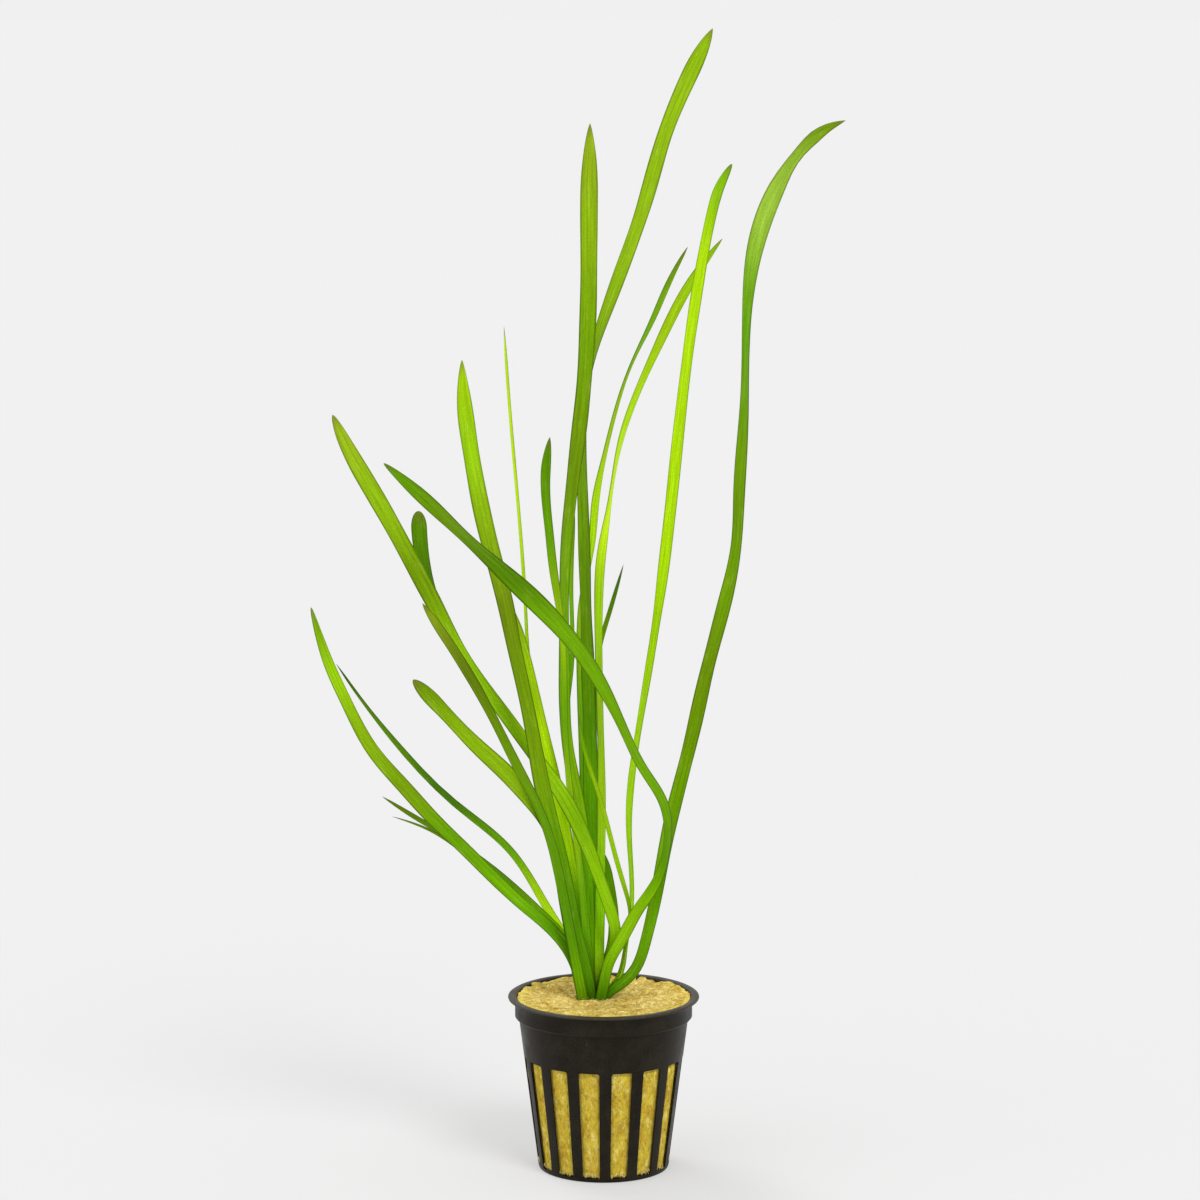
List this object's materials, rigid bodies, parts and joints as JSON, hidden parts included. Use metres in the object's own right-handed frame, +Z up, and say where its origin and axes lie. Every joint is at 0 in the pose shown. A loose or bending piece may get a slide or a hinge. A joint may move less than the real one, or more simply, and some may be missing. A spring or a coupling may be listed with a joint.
{
  "type": "potted vallisneria",
  "caption": "Aquarium grass plant with long ribbon leaves rising from one crown, rooted in a plug of yellow mineral wool in a small black slotted net pot.",
  "frame": {"origin": "middle of the pot's flat underside, on the surface it stands on", "axes": "+Z up along the pot's axis, the front of the plant towards -Y, +X to the right seen from the front"},
  "size_m": [0.1483, 0.0831, 0.3255],
  "materials": {
    "pot_plastic": "warm near-black moulded plastic, satin",
    "mineral_wool": "matted yellow mineral wool, matte and fibrous",
    "crown_stem": "pale green plant tissue, satin",
    "leaf_deep": "deep green leaf, satin with fine lengthwise veins",
    "leaf_mid": "mid green leaf, satin with fine lengthwise veins",
    "leaf_lime": "lime green leaf, satin with fine lengthwise veins",
    "leaf_yellow": "yellow-green leaf, satin with fine lengthwise veins",
    "leaf_olive": "olive brown-green leaf, satin with fine lengthwise veins"
  },
  "bodies": {
    "root": {"net_pot": "pot_plastic", "wool_plug": "mineral_wool", "crown": "crown_stem", "leaf_tall_arching": "leaf_mid", "leaf_tall_upright": "leaf_mid", "leaf_outer_right": "leaf_mid", "leaf_crossing_front": "leaf_deep", "leaf_yellow_right": "leaf_yellow", "leaf_short_upright": "leaf_deep", "leaf_short_spike": "leaf_deep", "leaf_long_right": "leaf_lime", "leaf_thin_arching": "leaf_mid", "leaf_stub_right": "leaf_deep", "leaf_thin_bowed": "leaf_lime", "leaf_hair_thin": "leaf_mid", "leaf_broad_left": "leaf_lime", "leaf_long_left": "leaf_lime", "leaf_yellow_left": "leaf_yellow", "leaf_blunt_behind": "leaf_deep", "leaf_olive_left": "leaf_olive", "leaf_blunt_left": "leaf_mid", "leaf_far_left": "leaf_lime", "leaf_low_strip": "leaf_deep", "leaf_tiny_low": "leaf_olive", "leaf_low_dark": "leaf_mid", "leaf_thin_upright": "leaf_lime"}
  },
  "joints": []
}
